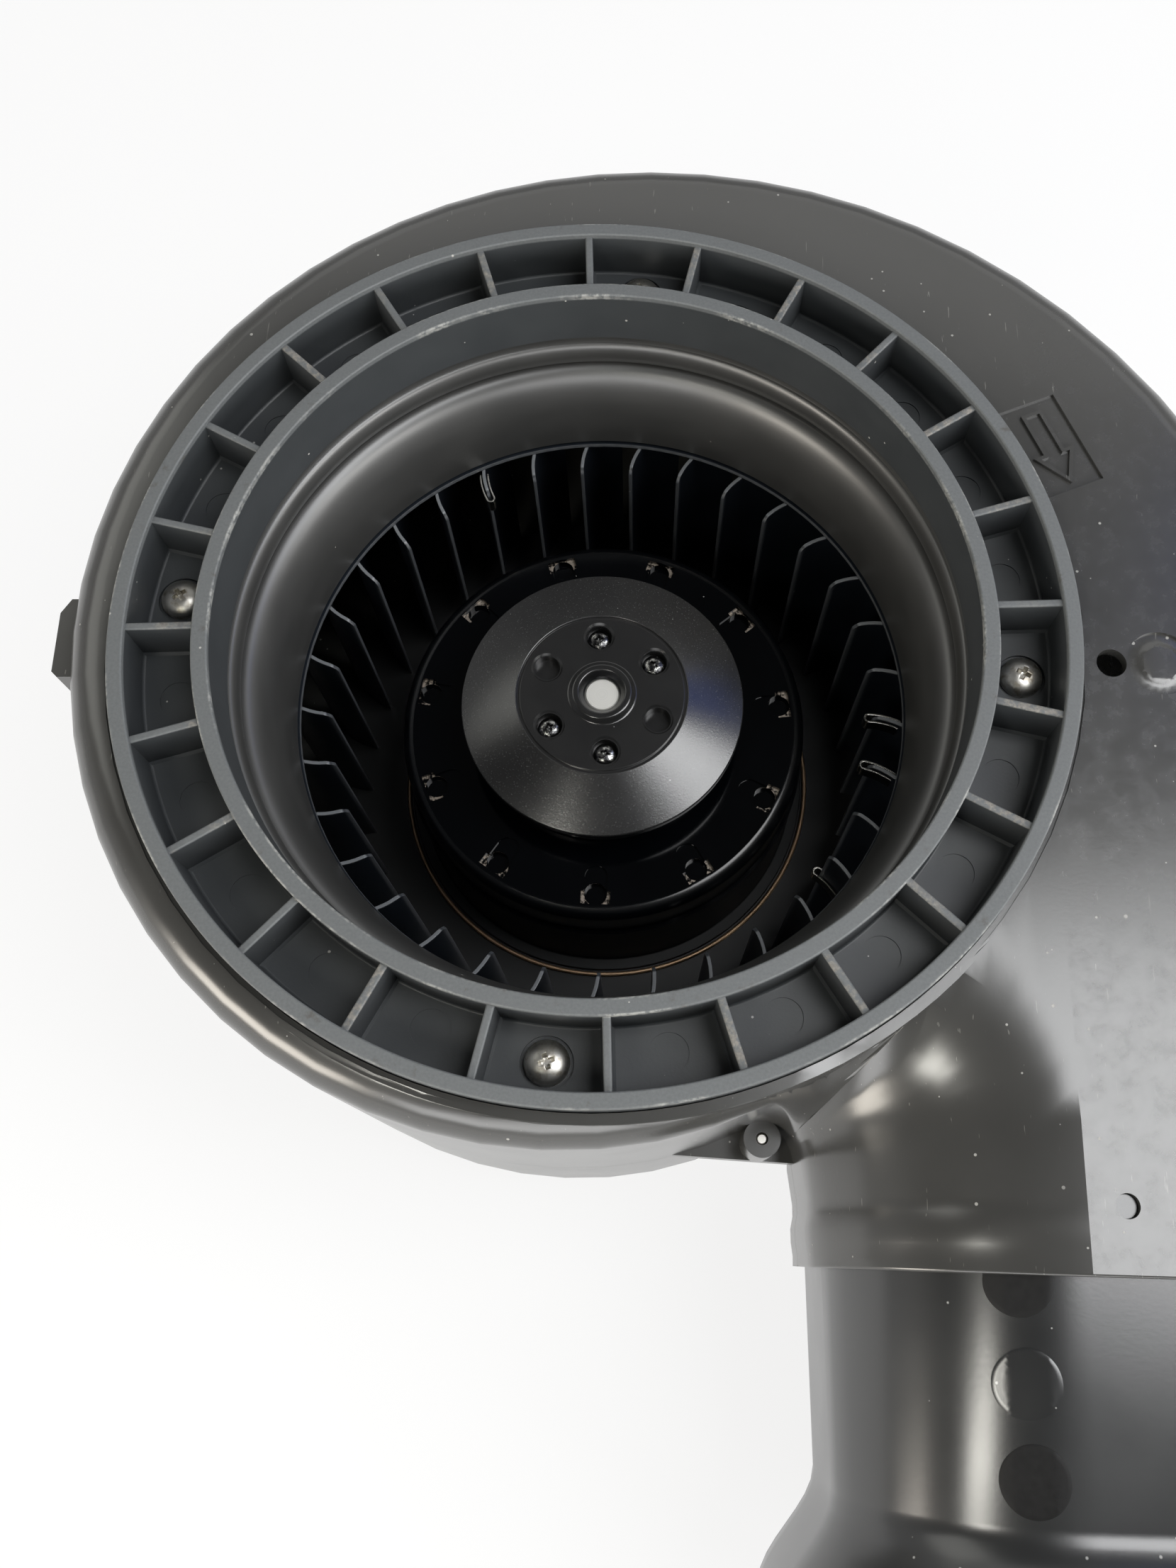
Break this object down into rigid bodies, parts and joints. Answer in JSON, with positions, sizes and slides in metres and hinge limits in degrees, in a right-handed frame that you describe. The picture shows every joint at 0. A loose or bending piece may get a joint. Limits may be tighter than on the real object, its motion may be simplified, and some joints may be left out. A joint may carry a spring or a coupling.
{
  "type": "centrifugal blower",
  "caption": "Black plastic centrifugal blower with a ribbed round inlet ring, a forward-curved impeller on an external-rotor motor, and a flared outlet duct.",
  "frame": {"origin": "on the impeller axis, at the top of the inlet ring's collar", "axes": "+Z along the impeller axis out of the inlet, -Y out of the outlet, +X across the outlet to the scroll's wide side"},
  "size_m": [0.335, 0.4086, 0.1512],
  "materials": {
    "shell": "satin",
    "ring": "fine matte",
    "nozzle": "semi-gloss",
    "duct": "satin",
    "bright_screw": "nickel plated",
    "dark_screw": "blackened",
    "motor_cast": "painted black",
    "grommet": "matte",
    "tube": "machined",
    "bearing": "ground",
    "lamination": "stacked sheet",
    "copper": "enamelled wire",
    "bell": "gloss black",
    "hub": "satin black",
    "shaft": "ground",
    "impeller": "semi-gloss black",
    "clip": "bright spring steel"
  },
  "bodies": {
    "housing": {"upper_scroll": "shell", "lower_scroll": "shell", "inlet_ring": "ring", "inlet_nozzle": "nozzle", "ring_screws": "bright_screw", "outlet_duct": "duct", "housing_screws": "bright_screw", "motor_flange": "motor_cast", "flange_screws": "bright_screw", "lead_grommet": "grommet", "bearing_tube": "tube", "front_bearing": "bearing", "rear_bearing": "bearing", "stator_core": "lamination", "stator_windings": "copper"},
    "rotor": {"rotor_bell": "bell", "rotor_core": "lamination", "hub_cone": "hub", "hub_screws": "dark_screw", "shaft": "shaft", "retaining_ring": "dark_screw", "impeller_back_plate": "impeller", "impeller_blades": "impeller", "impeller_front_ring": "impeller", "balance_clips": "clip"}
  },
  "joints": [
    {"name": "impeller_spin", "type": "hinge", "parent": "housing", "child": "rotor", "pos_m": [0, 0, 0], "axis": [0, 0, 1], "continuous": true}
  ]
}
